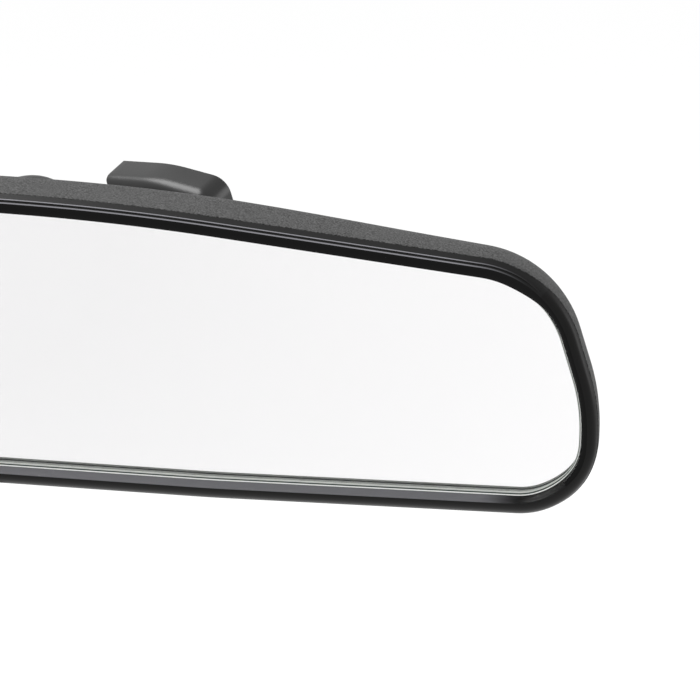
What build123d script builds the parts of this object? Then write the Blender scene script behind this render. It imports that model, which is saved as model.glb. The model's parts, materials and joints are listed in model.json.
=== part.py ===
from build123d import *

import math
import os

# Interior rearview mirror with a day/night toggle, on a double-ball arm.
# Row frame, mm: origin at the centre of the face bonded to the windshield,
# +X to the right seen from the cabin, +Y towards the windshield, +Z up.

# ---- Driving dimensions ------------------------------------------------------------
# Mirror head
HALF_WIDTH = 122.7          # centre to the right-hand end of the housing
TOP_APEX = 31.3             # where the two top lines would meet, above the centre
BOTTOM = -29.0              # underside of the housing
HEAD_TURN = 26.5            # head turned to the right of straight back, degrees
WALL = 1.6                  # moulded wall of the housing
PARTING_DEPTH = 1.0         # front edge of the housing behind the bezel crest
SIDE_DEPTH = 15.0           # depth where the side wall turns into the back
BACK_DEPTH = 29.5           # deepest point of the housing
BACK_INSET = 20.0           # how far the flat of the back stands in from the sides
LIP_WIDTH = 3.7             # bezel face, outer edge to glass opening
LIP_DEPTH = 2.1             # bezel crest to glass face
SKIRT_DEPTH = 5.5           # bezel skirt inside the housing
BEVEL = 0.85                # outer bevel of the bezel
GLASS_INSET = 2.65          # glass edge inside the outline, under the lip
GLASS_THIN = 3.0            # prismatic glass, lower edge
GLASS_THICK = 5.9           # prismatic glass, upper edge
COATING = 0.15              # silvering on the back of the glass
FILM = 0.3                  # shatter film behind it
PAD = 2.4                   # foam pad behind the film
PAD_HALF_W, PAD_HALF_H = 80.0, 12.0

# Toggle mechanism, (depth, height) in the head
HINGE_DEPTH, HINGE_HEIGHT = 17.5, 21.0
HINGE_PIN_R = 1.5
LEVER_DEPTH, LEVER_HEIGHT = 10.5, -22.4
LEVER_PIN_R = 1.25
RUNNING = 0.05              # radial running clearance
BRACKET_DEPTH = 21.5        # front face of the pivot bracket
SHEET = 1.6                 # steel sheet of the bracket
CARRIER_DEPTH = 12.4        # front face of the carrier plate
CARRIER_SHEET = 1.6
CARRIER_W, CARRIER_H = 96.0, 36.0
LEVER_WIDTH = 8.6

# Ball joints and arm
BALL_R = 8.0
NECK_R = 3.2
LINER_GAP = 0.05
LINER = 0.6
SEAT_R = BALL_R + LINER + 2 * LINER_GAP
RIM_PAST = 1.5              # arm rim past the ball centre
ARM_RIM_R = 9.0             # outside of the rolled rim
ARM_END_R = 10.0            # outside of the socket ends
ARM_WAIST_R = 8.2
SOCKET_AT = 3.2             # widest ring of a socket end, from the ball centre
ARM_BORE_R = 7.0
HEAD_BALL_DEPTH = 40.0      # ball centre behind the bezel crest
HEAD_BALL_HEIGHT = 14.3     # ball centre above the head's centre
ARM_REACH = 35.4            # ball to ball, along Y
ARM_RISE = 12.4             # head ball above the mount ball

# Windshield mount
RAKE = 66.0                 # bonding face from horizontal, degrees
FOOT_HALF_WIDTH = 14.7
FOOT_TOP = 16.2
FOOT_SHOULDER_DROP = 1.5    # top edge's fall from its middle to its corners
FOOT_BOTTOM = -17.0
FOOT_LOW_HALF_WIDTH = 8.5
FOOT_GAP = 0.6              # foot to windshield
FOOT_THICK = 8.4
MOUNT_BALL_OUT = 20.0       # mount ball centre from the bonding face
MOUNT_BALL_UP = 6.0         # and up along the face
BUTTON_W_TOP, BUTTON_W_BOTTOM = 18.0, 20.5
BUTTON_TOP, BUTTON_LOW = 12.5, -14.5
BUTTON_THICK = 4.2
BUTTON_BEVEL = 12.0         # dovetail angle of the button's sides, degrees
ADHESIVE = 0.4
ADHESIVE_W, ADHESIVE_H, ADHESIVE_CORNER_R = 15.0, 24.0, 2.0
CHANNEL_CLEARANCE = 0.15

# ---- Frames ------------------------------------------------------------------------
rake = math.radians(RAKE)
turn = math.radians(HEAD_TURN)
face_out = Vector(0, math.sin(rake), math.cos(rake))
face_up = Vector(0, -math.cos(rake), math.sin(rake))
across = Vector(math.cos(turn), math.sin(turn), 0)
into_head = Vector(-math.sin(turn), math.cos(turn), 0)
up = Vector(0, 0, 1)

FACE = Plane(origin=(0, 0, 0), x_dir=(-1, 0, 0), z_dir=face_out)
mount_ball = face_out * -MOUNT_BALL_OUT + face_up * MOUNT_BALL_UP
head_ball = mount_ball + Vector(0, -ARM_REACH, ARM_RISE)
arm_dir = (mount_ball - head_ball).normalized()
ARM_LENGTH = (mount_ball - head_ball).length
ARM_SIDE = Plane(origin=head_ball, x_dir=arm_dir, z_dir=(1, 0, 0))
ARM_AXIS = Axis(head_ball, arm_dir)
head_centre = head_ball - into_head * HEAD_BALL_DEPTH - up * HEAD_BALL_HEIGHT
HEAD = Plane(origin=head_centre, x_dir=across, z_dir=-into_head)
HEAD_SIDE = Plane(origin=head_centre, x_dir=into_head, z_dir=across)
STUD_SIDE = Plane(origin=head_ball, x_dir=-into_head, z_dir=-across)
STUD_AXIS = Axis(head_ball, -into_head)
NECK_SIDE = Plane(origin=mount_ball, x_dir=(0, 1, 0), z_dir=(1, 0, 0))
NECK_AXIS = Axis(mount_ball, (0, 1, 0))


# ---- Shared profiles ---------------------------------------------------------------
def rounded_polygon(corners, inset=0.0):
    """Face of a clockwise convex polygon of (x, y, radius), every side moved in by inset."""
    moved = []
    for i, (x, y, radius) in enumerate(corners):
        here = Vector(x, y)
        before = Vector(*corners[i - 1][:2])
        after = Vector(*corners[(i + 1) % len(corners)][:2])
        into, out = (here - before).normalized(), (after - here).normalized()
        normals = Vector(-into.Y - out.Y, into.X + out.X)
        corner = here - normals * (inset / (1 + into.dot(out)))
        moved.append((corner.X, corner.Y, radius - inset))
    with BuildSketch() as face:
        with BuildLine():
            FilletPolyline(
                *[(x, y) for x, y, radius in moved],
                radius=[radius for x, y, radius in moved],
                close=True,
            )
        make_face()
    return face.sketch


HALF_OUTLINE = [            # (x, height, corner radius) of the head, from the top's middle
    (0, TOP_APEX, 520),
    (HALF_WIDTH - 8.5, 20.2, 21.2),
    (HALF_WIDTH, -5.4, 36.7),
    (HALF_WIDTH, -27.3, 15.8),
    (49, BOTTOM, 400),
]


def head_outline(inset=0.0, shrink=0.0):
    """Face of the head's outline: arched top, leaning ends, nearly flat bottom. It is
    inset evenly, or shrunk towards its middle height for the rounded back."""
    sx = 1 - shrink / HALF_WIDTH
    sy = 1 - 2 * shrink / (TOP_APEX - BOTTOM)
    middle = (TOP_APEX + BOTTOM) / 2
    half = [(x * sx, middle + (y - middle) * sy, r * sy ** 1.5) for x, y, r in HALF_OUTLINE]
    return rounded_polygon(half + [(-x, y, r) for x, y, r in reversed(half[1:])], inset)


def dome(wall=0.0, steps=5):
    """Housing body: straight side wall, then a rounded back."""
    with BuildPart() as body:
        with BuildSketch(HEAD.offset(-SIDE_DEPTH)):
            add(head_outline(wall))
        extrude(amount=SIDE_DEPTH - PARTING_DEPTH)
        for step in range(steps):
            a = math.radians(90 * step / (steps - 1))
            depth = SIDE_DEPTH + (BACK_DEPTH - SIDE_DEPTH - wall) * math.sin(a)
            with BuildSketch(HEAD.offset(-depth)):
                add(head_outline(wall, BACK_INSET * (1 - math.cos(a))))
        loft()
    return body.part


def glass_wedge(front, back, half_w=HALF_WIDTH, low=BOTTOM, high=TOP_APEX):
    """Slab between two planes parallel to the leaning silvered face, at these distances
    behind the lip at the bottom of the glass."""
    lean = (GLASS_THICK - GLASS_THIN) / (TOP_APEX - BOTTOM - 2 * GLASS_INSET)

    def at(distance, height):
        return LIP_DEPTH + distance + lean * (height - BOTTOM)

    with BuildPart() as wedge:
        with BuildSketch(HEAD_SIDE):
            with BuildLine():
                Polyline(
                    (at(front, low), low), (at(back, low), low),
                    (at(back, high), high), (at(front, high), high), close=True,
                )
            make_face()
        extrude(amount=half_w, both=True)
    return wedge.part


def side_disc(depth, height, radius, mode=Mode.ADD):
    """Circle in the head's side view."""
    with Locations((depth, height)):
        Circle(radius, mode=mode)


# ---- Head: case --------------------------------------------------------------------
BOSS_X, BOSS_TOP, BOSS_LOW = 38.0, 9.0, -9.0
BOSS_R = 3.4
SCREW_R = 1.3
SCREW_HEAD_R, SCREW_HEAD = 2.6, 1.4
SCREW_LENGTH = 9.0
STUD_HOLE_R = 9.4
SLOT_FRONT, SLOT_BACK = 5.2, 13.6       # lever slot through the underside
boss_places = [(x, y) for x in (-BOSS_X, BOSS_X) for y in (BOSS_TOP, BOSS_LOW)]

with BuildPart() as rear_housing:
    add(dome())
    add(dome(WALL), mode=Mode.SUBTRACT)
    with BuildSketch(HEAD.offset(-(CARRIER_DEPTH + CARRIER_SHEET))):
        with Locations(*boss_places):
            Circle(BOSS_R)
    extrude(amount=-(BACK_DEPTH - CARRIER_DEPTH - CARRIER_SHEET - WALL / 2))
    with BuildSketch(HEAD.offset(-(CARRIER_DEPTH + CARRIER_SHEET))):
        with Locations(*boss_places):
            Circle(SCREW_R)
    extrude(amount=-SCREW_LENGTH, mode=Mode.SUBTRACT)
    with BuildSketch(HEAD.offset(-BACK_DEPTH - 1)):
        with Locations((0, HEAD_BALL_HEIGHT)):
            Circle(STUD_HOLE_R)
    extrude(amount=BACK_DEPTH - SIDE_DEPTH - 3, mode=Mode.SUBTRACT)
    with BuildSketch(HEAD_SIDE):
        with Locations(((SLOT_FRONT + SLOT_BACK) / 2, BOTTOM)):
            Rectangle(SLOT_BACK - SLOT_FRONT, 5 * WALL)
    extrude(amount=LEVER_WIDTH / 2 + 0.6, both=True, mode=Mode.SUBTRACT)

with BuildPart() as front_bezel:
    with BuildSketch(HEAD.offset(-PARTING_DEPTH)):
        add(head_outline())
    extrude(amount=PARTING_DEPTH)
    chamfer(
        front_bezel.faces().sort_by(Axis(HEAD.origin, HEAD.z_dir))[-1].edges(),
        length=BEVEL,
    )
    with BuildSketch(HEAD.offset(-SKIRT_DEPTH)):
        add(head_outline(WALL + RUNNING))
    extrude(amount=SKIRT_DEPTH - PARTING_DEPTH)
    with BuildSketch(HEAD.offset(-SKIRT_DEPTH)):
        add(head_outline(GLASS_INSET - RUNNING))
    extrude(amount=SKIRT_DEPTH - LIP_DEPTH, mode=Mode.SUBTRACT)
    with BuildSketch(HEAD.offset(-LIP_DEPTH)):
        add(head_outline(LIP_WIDTH))
    extrude(amount=LIP_DEPTH, mode=Mode.SUBTRACT)

with BuildPart() as mirror_glass:
    add(glass_wedge(-GLASS_THICK, GLASS_THIN))
    with BuildSketch(HEAD.offset(-LIP_DEPTH)):
        add(head_outline(GLASS_INSET))
    extrude(amount=-(GLASS_THICK + 1), mode=Mode.INTERSECT)

with BuildPart() as mirror_coating:
    add(glass_wedge(GLASS_THIN, GLASS_THIN + COATING))
    with BuildSketch(HEAD.offset(-LIP_DEPTH)):
        add(head_outline(GLASS_INSET + 0.2))
    extrude(amount=-(GLASS_THICK + 1), mode=Mode.INTERSECT)

with BuildPart() as shatter_film:
    add(glass_wedge(GLASS_THIN + COATING, GLASS_THIN + COATING + FILM))
    with BuildSketch(HEAD.offset(-LIP_DEPTH)):
        add(head_outline(GLASS_INSET + 0.5))
    extrude(amount=-(GLASS_THICK + 2), mode=Mode.INTERSECT)

with BuildPart() as foam_pad:
    pad_front = GLASS_THIN + COATING + FILM
    add(glass_wedge(pad_front, pad_front + PAD, PAD_HALF_W, -PAD_HALF_H, PAD_HALF_H))

# Carrier plate across the back of the glass: ears for the hinge pin and lever pin.
EAR = 1.8                   # thickness of an ear
HINGE_EAR_X = 20.0
LEVER_EAR_X = 7.5
EAR_ROUND = 2.8             # ear's reach beyond the hinge pin
WINDOW_W, WINDOW_H, WINDOW_AT = 32.0, 24.0, -2.0
NOTCH_H, NOTCH_AT = 8.0, -15.0          # cut-out for the lever
CARRIER_BACK = CARRIER_DEPTH + CARRIER_SHEET

with BuildPart() as toggle_carrier:
    with BuildSketch(HEAD.offset(-CARRIER_BACK)):
        Rectangle(CARRIER_W, CARRIER_H)
        with Locations((0, WINDOW_AT)):
            Rectangle(WINDOW_W, WINDOW_H, mode=Mode.SUBTRACT)
        with Locations((0, NOTCH_AT)):
            Rectangle(LEVER_WIDTH + 2, NOTCH_H, mode=Mode.SUBTRACT)
        with Locations(*boss_places):
            Circle(SCREW_R + 0.2, mode=Mode.SUBTRACT)
    extrude(amount=CARRIER_SHEET)
    for sign in (-1, 1):
        with BuildSketch(HEAD_SIDE.offset(sign * HINGE_EAR_X - EAR / 2)):
            with BuildLine():
                Polyline(
                    (CARRIER_DEPTH, HINGE_HEIGHT - 11), (CARRIER_DEPTH, HINGE_HEIGHT + 3),
                    (HINGE_DEPTH, HINGE_HEIGHT + 3), (HINGE_DEPTH + EAR_ROUND, HINGE_HEIGHT),
                    (HINGE_DEPTH + EAR_ROUND, HINGE_HEIGHT - 2), (HINGE_DEPTH, HINGE_HEIGHT - 7),
                    (CARRIER_BACK, HINGE_HEIGHT - 11), close=True,
                )
            make_face()
            side_disc(HINGE_DEPTH, HINGE_HEIGHT, HINGE_PIN_R + RUNNING, Mode.SUBTRACT)
        extrude(amount=EAR)
        with BuildSketch(HEAD_SIDE.offset(sign * LEVER_EAR_X - EAR / 2)):
            with BuildLine():
                Polyline(
                    (CARRIER_BACK, LEVER_HEIGHT + 6.9), (CARRIER_BACK, LEVER_HEIGHT - 1.6),
                    (LEVER_DEPTH, LEVER_HEIGHT - 2.6), (LEVER_DEPTH - 2.4, LEVER_HEIGHT - 1.1),
                    (LEVER_DEPTH - 2.4, LEVER_HEIGHT + 1.9), (CARRIER_DEPTH, LEVER_HEIGHT + 6.9),
                    close=True,
                )
            make_face()
            side_disc(LEVER_DEPTH, LEVER_HEIGHT, LEVER_PIN_R, Mode.SUBTRACT)
        extrude(amount=EAR)

with BuildPart() as carrier_screws:
    with BuildSketch(HEAD.offset(-CARRIER_DEPTH)):
        with Locations(*boss_places):
            Circle(SCREW_HEAD_R)
    extrude(amount=SCREW_HEAD)
    with BuildSketch(HEAD.offset(-CARRIER_DEPTH)):
        with Locations(*boss_places):
            Circle(SCREW_R)
    extrude(amount=-SCREW_LENGTH)

with BuildPart() as lever_pin:
    with BuildSketch(HEAD_SIDE):
        side_disc(LEVER_DEPTH, LEVER_HEIGHT, LEVER_PIN_R)
    extrude(amount=LEVER_EAR_X + EAR, both=True)

# ---- Head: day/night lever ---------------------------------------------------------
LEVER_HUB_R = 2.7
CAM_R = 1.4
CAM_RISE = 9.4
CAM_LEAN = 1.2
TAB_START = 9.0             # rubber tab's upper end, below the pin
TAB_LENGTH = 20.0           # its tip, below the pin
TAB_THICK = 2.6
HUB_HALF_WIDTH = LEVER_EAR_X - EAR / 2 - 0.3

with BuildPart() as day_night_lever:
    with BuildSketch(HEAD_SIDE):
        side_disc(LEVER_DEPTH, LEVER_HEIGHT, LEVER_HUB_R)
    extrude(amount=HUB_HALF_WIDTH, both=True)
    with BuildSketch(HEAD_SIDE):
        with BuildLine():
            Polyline(
                (LEVER_DEPTH - 1.6, LEVER_HEIGHT),
                (LEVER_DEPTH + CAM_LEAN - CAM_R, LEVER_HEIGHT + CAM_RISE),
                (LEVER_DEPTH + CAM_LEAN + CAM_R, LEVER_HEIGHT + CAM_RISE),
                (LEVER_DEPTH + 2.2, LEVER_HEIGHT), close=True,
            )
        make_face()
        side_disc(LEVER_DEPTH + CAM_LEAN, LEVER_HEIGHT + CAM_RISE, CAM_R)
        with BuildLine():
            Polyline(
                (LEVER_DEPTH - 1.4, LEVER_HEIGHT), (LEVER_DEPTH + 1.4, LEVER_HEIGHT),
                (LEVER_DEPTH + 0.9, LEVER_HEIGHT - TAB_START),
                (LEVER_DEPTH - 1.7, LEVER_HEIGHT - TAB_START), close=True,
            )
        make_face()
    extrude(amount=LEVER_WIDTH / 2 - 0.7, both=True)
    with BuildSketch(HEAD_SIDE):
        side_disc(LEVER_DEPTH, LEVER_HEIGHT, LEVER_PIN_R + RUNNING)
    extrude(amount=HUB_HALF_WIDTH, both=True, mode=Mode.SUBTRACT)

with BuildPart() as lever_tab:
    with BuildSketch(HEAD_SIDE):
        with BuildLine():
            Polyline(
                (LEVER_DEPTH + 0.9, LEVER_HEIGHT - TAB_START),
                (LEVER_DEPTH - 0.6, LEVER_HEIGHT - TAB_LENGTH),
                (LEVER_DEPTH - 0.6 - TAB_THICK, LEVER_HEIGHT - TAB_LENGTH),
                (LEVER_DEPTH - 1.7, LEVER_HEIGHT - TAB_START), close=True,
            )
        make_face()
        fillet(vertices().group_by(Axis.Y)[0], radius=1.1)
    extrude(amount=LEVER_WIDTH / 2, both=True)

# ---- Head: pivot bracket -----------------------------------------------------------
BRACKET_HALF = 15.0
BRACKET_TOP, BRACKET_LOW = 20.0, -13.0
BRACKET_FOOT_TIP = 15.0
STUD_SHANK_R = 3.0
BOOT_R = 8.0
RIVET_R = 1.5
BRACKET_BACK = BRACKET_DEPTH + SHEET
rivet_places = [(-10, -2), (10, -2)]

with BuildPart() as pivot_bracket:
    with BuildSketch(HEAD.offset(-BRACKET_DEPTH - SHEET)):
        with Locations((0, (BRACKET_TOP + BRACKET_LOW) / 2)):
            Rectangle(2 * BRACKET_HALF, BRACKET_TOP - BRACKET_LOW)
        with Locations((0, HEAD_BALL_HEIGHT)):
            Circle(STUD_SHANK_R + RUNNING, mode=Mode.SUBTRACT)
        with Locations(*rivet_places):
            Circle(RIVET_R, mode=Mode.SUBTRACT)
    extrude(amount=SHEET)
    for sign in (-1, 1):
        with BuildSketch(HEAD_SIDE.offset(sign * (BRACKET_HALF - SHEET / 2) - SHEET / 2)):
            with BuildLine():
                Polyline(
                    (BRACKET_DEPTH, -6), (HINGE_DEPTH - 2.6, HINGE_HEIGHT - 3),
                    (HINGE_DEPTH - 2.6, HINGE_HEIGHT + 1), (HINGE_DEPTH, HINGE_HEIGHT + 3),
                    (BRACKET_DEPTH - 1, HINGE_HEIGHT + 2), (BRACKET_BACK, BRACKET_TOP),
                    (BRACKET_BACK, -6), close=True,
                )
            make_face()
            side_disc(HINGE_DEPTH, HINGE_HEIGHT, HINGE_PIN_R, Mode.SUBTRACT)
        extrude(amount=SHEET)
    with BuildSketch(HEAD_SIDE):
        with BuildLine():
            Polyline(
                (BRACKET_FOOT_TIP, BRACKET_LOW), (BRACKET_BACK, BRACKET_LOW),
                (BRACKET_BACK, BRACKET_LOW + SHEET), (BRACKET_FOOT_TIP, BRACKET_LOW + SHEET),
                close=True,
            )
        make_face()
    extrude(amount=LEVER_WIDTH / 2, both=True)

with BuildPart() as hinge_pin:
    with BuildSketch(HEAD_SIDE):
        side_disc(HINGE_DEPTH, HINGE_HEIGHT, HINGE_PIN_R)
    extrude(amount=HINGE_EAR_X + EAR, both=True)

# Bowed leaf that snaps the case between day and night, riveted to the bracket.
LEAF = 0.5                  # thickness
LEAF_TOP, LEAF_LOW, LEAF_BOW = -1.0, -11.0, 2.2
LEAF_HALF_W = 5.0

with BuildPart() as detent_spring:
    with BuildSketch(HEAD_SIDE):
        with BuildLine():
            leaf_line = ThreePointArc(
                (BRACKET_DEPTH - LEAF, LEAF_TOP),
                (BRACKET_DEPTH - LEAF_BOW, (LEAF_TOP + LEAF_LOW) / 2),
                (BRACKET_DEPTH - LEAF, LEAF_LOW),
            )
            offset(leaf_line, amount=LEAF / 2, side=Side.BOTH)
        make_face()
    extrude(amount=LEAF_HALF_W, both=True)

with BuildPart() as spring_rivets:
    with BuildSketch(HEAD.offset(-(BRACKET_DEPTH + SHEET))):
        with Locations(*rivet_places):
            Circle(RIVET_R)
    extrude(amount=SHEET)
    with BuildSketch(HEAD.offset(-BRACKET_DEPTH)):
        with Locations(*rivet_places):
            Circle(RIVET_R + 1)
    extrude(amount=0.9)

# ---- Ball stud of the head ---------------------------------------------------------
FLANGE_R, FLANGE_THICK = 5.6, 1.8
WASHER, WASHER_R = 0.6, 5.2
AXIAL_GAP = 0.1
bracket_back = HEAD_BALL_DEPTH - BRACKET_BACK
bracket_front = HEAD_BALL_DEPTH - BRACKET_DEPTH
NUT_THICK = 3.2
NUT_ACROSS_CORNERS_R = 5.0
BOOT_PROUD, BOOT_THICK, BOOT_MOUTH_R = 2.4, 2.0, 5.4

with BuildPart() as head_ball_stud:
    with BuildSketch(STUD_SIDE):
        with BuildLine():
            Polyline(
                (0, 0), (bracket_front + WASHER + NUT_THICK + 1, 0),
                (bracket_front + WASHER + NUT_THICK + 1, STUD_SHANK_R),
                (bracket_back - AXIAL_GAP, STUD_SHANK_R),
                (bracket_back - AXIAL_GAP, FLANGE_R),
                (bracket_back - AXIAL_GAP - FLANGE_THICK, FLANGE_R),
                (bracket_back - AXIAL_GAP - FLANGE_THICK, NECK_R), (0, NECK_R), close=True,
            )
        make_face()
    revolve(axis=STUD_AXIS)
    with Locations(head_ball):
        Sphere(BALL_R)

with BuildPart() as stud_washer:
    with BuildSketch(HEAD.offset(-BRACKET_DEPTH + AXIAL_GAP)):
        with Locations((0, HEAD_BALL_HEIGHT)):
            Circle(WASHER_R)
            Circle(STUD_SHANK_R, mode=Mode.SUBTRACT)
    extrude(amount=WASHER - AXIAL_GAP)

with BuildPart() as stud_nut:
    with BuildSketch(HEAD.offset(-BRACKET_DEPTH + WASHER)):
        with Locations((0, HEAD_BALL_HEIGHT)):
            RegularPolygon(NUT_ACROSS_CORNERS_R, 6)
            Circle(STUD_SHANK_R, mode=Mode.SUBTRACT)
    extrude(amount=NUT_THICK)

with BuildPart() as stud_boot:
    with BuildSketch(STUD_SIDE):
        with BuildLine():
            boot_back = HEAD_BALL_DEPTH - BACK_DEPTH + BOOT_PROUD
            Polyline(
                (boot_back, NECK_R), (boot_back + BOOT_THICK, NECK_R),
                (boot_back + BOOT_THICK, BOOT_R), (boot_back + BOOT_THICK / 2, BOOT_R),
                (boot_back, BOOT_MOUTH_R), close=True,
            )
        make_face()
    revolve(axis=STUD_AXIS)


# ---- Ball liners -------------------------------------------------------------------
LINER_MOUTH, LINER_BACK = 4.4, 6.5      # ends of a liner, before and behind the ball centre


def ball_liner(centre, toward_neck):
    """Split nylon shell around a ball, open towards the neck."""
    with BuildPart() as liner:
        with Locations(centre):
            Sphere(BALL_R + LINER_GAP + LINER)
            Sphere(BALL_R + LINER_GAP, mode=Mode.SUBTRACT)
        with BuildSketch(Plane(origin=centre + toward_neck * LINER_MOUTH, z_dir=toward_neck)):
            Circle(2 * BALL_R)
        extrude(amount=BALL_R, mode=Mode.SUBTRACT)
        with BuildSketch(Plane(origin=centre - toward_neck * LINER_BACK, z_dir=-toward_neck)):
            Circle(2 * BALL_R)
        extrude(amount=BALL_R, mode=Mode.SUBTRACT)
    return liner


head_ball_liner = ball_liner(head_ball, -into_head)
mount_ball_liner = ball_liner(mount_ball, Vector(0, 1, 0))

# ---- Arm ---------------------------------------------------------------------------
PLATE = 2.2                 # pressure plate behind its dish
DISH = 2.0
plate_at = SEAT_R - DISH

with BuildPart() as arm_tube:
    with BuildSketch(ARM_SIDE):
        with BuildLine():
            rim = (-RIM_PAST, ARM_RIM_R)
            far_rim = (ARM_LENGTH + RIM_PAST, ARM_RIM_R)
            Spline(
                rim, (SOCKET_AT, ARM_END_R), (ARM_LENGTH / 2, ARM_WAIST_R),
                (ARM_LENGTH - SOCKET_AT, ARM_END_R), far_rim,
            )
            Polyline(far_rim, (ARM_LENGTH + RIM_PAST, 0), (-RIM_PAST, 0), rim)
        make_face()
    revolve(axis=ARM_AXIS)
    with BuildSketch(ARM_SIDE):
        with BuildLine():
            Polyline((0, 0), (ARM_LENGTH, 0), (ARM_LENGTH, ARM_BORE_R), (0, ARM_BORE_R), close=True)
        make_face()
    revolve(axis=ARM_AXIS, mode=Mode.SUBTRACT)
    with Locations(head_ball, mount_ball):
        Sphere(SEAT_R, mode=Mode.SUBTRACT)


def pressure_plate(ball_at, sign):
    """Dished steel plate that the spring pushes onto a lined ball."""
    near = ball_at + sign * plate_at
    far = near + sign * (PLATE + DISH)
    with BuildPart() as plate:
        with BuildSketch(ARM_SIDE):
            with BuildLine():
                Polyline(
                    (near, 0), (far, 0), (far, ARM_BORE_R - 0.2), (near, ARM_BORE_R - 0.2),
                    close=True,
                )
            make_face()
        revolve(axis=ARM_AXIS)
        with Locations(head_ball + arm_dir * ball_at):
            Sphere(SEAT_R, mode=Mode.SUBTRACT)
    return plate


head_pressure_plate = pressure_plate(0, 1)
mount_pressure_plate = pressure_plate(ARM_LENGTH, -1)

SPRING_WIRE_R = 0.9
SPRING_R = 5.4
SPRING_TURNS = 3
spring_start = plate_at + PLATE + DISH + SPRING_WIRE_R
spring_length = ARM_LENGTH - 2 * spring_start

with BuildPart() as arm_spring:
    with BuildLine() as spring_path:
        Helix(
            pitch=spring_length / SPRING_TURNS, height=spring_length, radius=SPRING_R,
            center=head_ball + arm_dir * spring_start, direction=arm_dir,
        )
    spring_end = Plane(origin=spring_path.line @ 0, z_dir=spring_path.line % 0)
    with BuildSketch(spring_end):
        Circle(SPRING_WIRE_R)
    sweep(path=spring_path.line, is_frenet=True)

# ---- Mount foot --------------------------------------------------------------------
BOSS_END = 10.4             # boss end face from the ball centre
BOSS_END_R = 5.2
BOSS_ROOT_R = 8.6
BOSS_LENGTH = 5.5
STUD_END = BOSS_END + 4.5   # end of the stud's shank inside the foot
SET_SCREW_R, SET_SCREW_LENGTH, SET_SCREW_UP = 2.0, 5.0, -8.0
SOCKET_R, SOCKET_DEEP = 1.15, 2.0
FOOT_EDGE_R = 2.2
FOOT_CORNER_R = 3.0
CHANNEL_MOUTH = 12.0        # height of the opening the button enters by
CHANNEL_DEPTH = ADHESIVE + BUTTON_THICK + CHANNEL_CLEARANCE


def button_outline(grow=0.0):
    """Keystone face of the windshield button."""
    with BuildSketch() as keystone:
        with BuildLine():
            Polyline(
                (-BUTTON_W_BOTTOM / 2 - grow, BUTTON_LOW),
                (BUTTON_W_BOTTOM / 2 + grow, BUTTON_LOW),
                (BUTTON_W_TOP / 2 + grow, BUTTON_TOP + grow),
                (-BUTTON_W_TOP / 2 - grow, BUTTON_TOP + grow), close=True,
            )
        make_face()
    return keystone.sketch


shoulder = FOOT_TOP - FOOT_SHOULDER_DROP
foot_corners = [            # (x, height up the face, corner radius)
    (0, FOOT_TOP, 40),
    (FOOT_HALF_WIDTH, shoulder, FOOT_CORNER_R),
    (FOOT_HALF_WIDTH, 3, 12),
    (FOOT_LOW_HALF_WIDTH, FOOT_BOTTOM, 5),
    (-FOOT_LOW_HALF_WIDTH, FOOT_BOTTOM, 5),
    (-FOOT_HALF_WIDTH, 3, 12),
    (-FOOT_HALF_WIDTH, shoulder, FOOT_CORNER_R),
]

with BuildPart() as mount_foot:
    with BuildSketch(FACE.offset(-FOOT_GAP)):
        add(rounded_polygon(foot_corners))
    extrude(amount=-FOOT_THICK)
    fillet(mount_foot.faces().sort_by(Axis((0, 0, 0), face_out))[0].edges(), radius=FOOT_EDGE_R)
    with BuildSketch(NECK_SIDE):
        with BuildLine():
            Polyline(
                (BOSS_END, 0), (BOSS_END, BOSS_END_R), (BOSS_END + BOSS_LENGTH, BOSS_ROOT_R),
                (BOSS_END + BOSS_LENGTH, 0), close=True,
            )
        make_face()
    revolve(axis=NECK_AXIS)
    with BuildSketch(FACE.offset(-CHANNEL_DEPTH)):
        add(button_outline(CHANNEL_CLEARANCE))
    extrude(amount=CHANNEL_DEPTH, taper=BUTTON_BEVEL, mode=Mode.SUBTRACT)
    with BuildSketch(FACE.offset(-CHANNEL_DEPTH)):
        with Locations((0, BUTTON_LOW - 3)):
            Rectangle(BUTTON_W_BOTTOM + 2 * CHANNEL_CLEARANCE, CHANNEL_MOUTH)
    extrude(amount=BUTTON_THICK + ADHESIVE + 1, mode=Mode.SUBTRACT)
    with BuildSketch(FACE.offset(-FOOT_GAP - FOOT_THICK - 1)):
        with Locations((0, SET_SCREW_UP)):
            Circle(SET_SCREW_R)
    extrude(amount=FOOT_THICK, mode=Mode.SUBTRACT)
    with BuildSketch(NECK_SIDE):
        with BuildLine():
            Polyline((0, 0), (STUD_END, 0), (STUD_END, NECK_R), (0, NECK_R), close=True)
        make_face()
    revolve(axis=NECK_AXIS, mode=Mode.SUBTRACT)

with BuildPart() as mount_ball_stud:
    with BuildSketch(NECK_SIDE):
        with BuildLine():
            Polyline((0, 0), (STUD_END, 0), (STUD_END, NECK_R), (0, NECK_R), close=True)
        make_face()
    revolve(axis=NECK_AXIS)
    with Locations(mount_ball):
        Sphere(BALL_R)

with BuildPart() as set_screw:
    with BuildSketch(FACE.offset(-ADHESIVE - BUTTON_THICK)):
        with Locations((0, SET_SCREW_UP)):
            Circle(SET_SCREW_R)
    extrude(amount=-SET_SCREW_LENGTH)
    with BuildSketch(FACE.offset(-ADHESIVE - BUTTON_THICK - SET_SCREW_LENGTH)):
        with Locations((0, SET_SCREW_UP)):
            RegularPolygon(SOCKET_R, 6)
    extrude(amount=SOCKET_DEEP, mode=Mode.SUBTRACT)

with BuildPart() as windshield_button:
    with BuildSketch(FACE.offset(-ADHESIVE - BUTTON_THICK)):
        add(button_outline())
    extrude(amount=BUTTON_THICK, taper=BUTTON_BEVEL)

with BuildPart() as adhesive_pad:
    with BuildSketch(FACE.offset(-ADHESIVE)):
        Rectangle(ADHESIVE_W, ADHESIVE_H)
        fillet(vertices(), radius=ADHESIVE_CORNER_R)
    extrude(amount=ADHESIVE)

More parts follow.
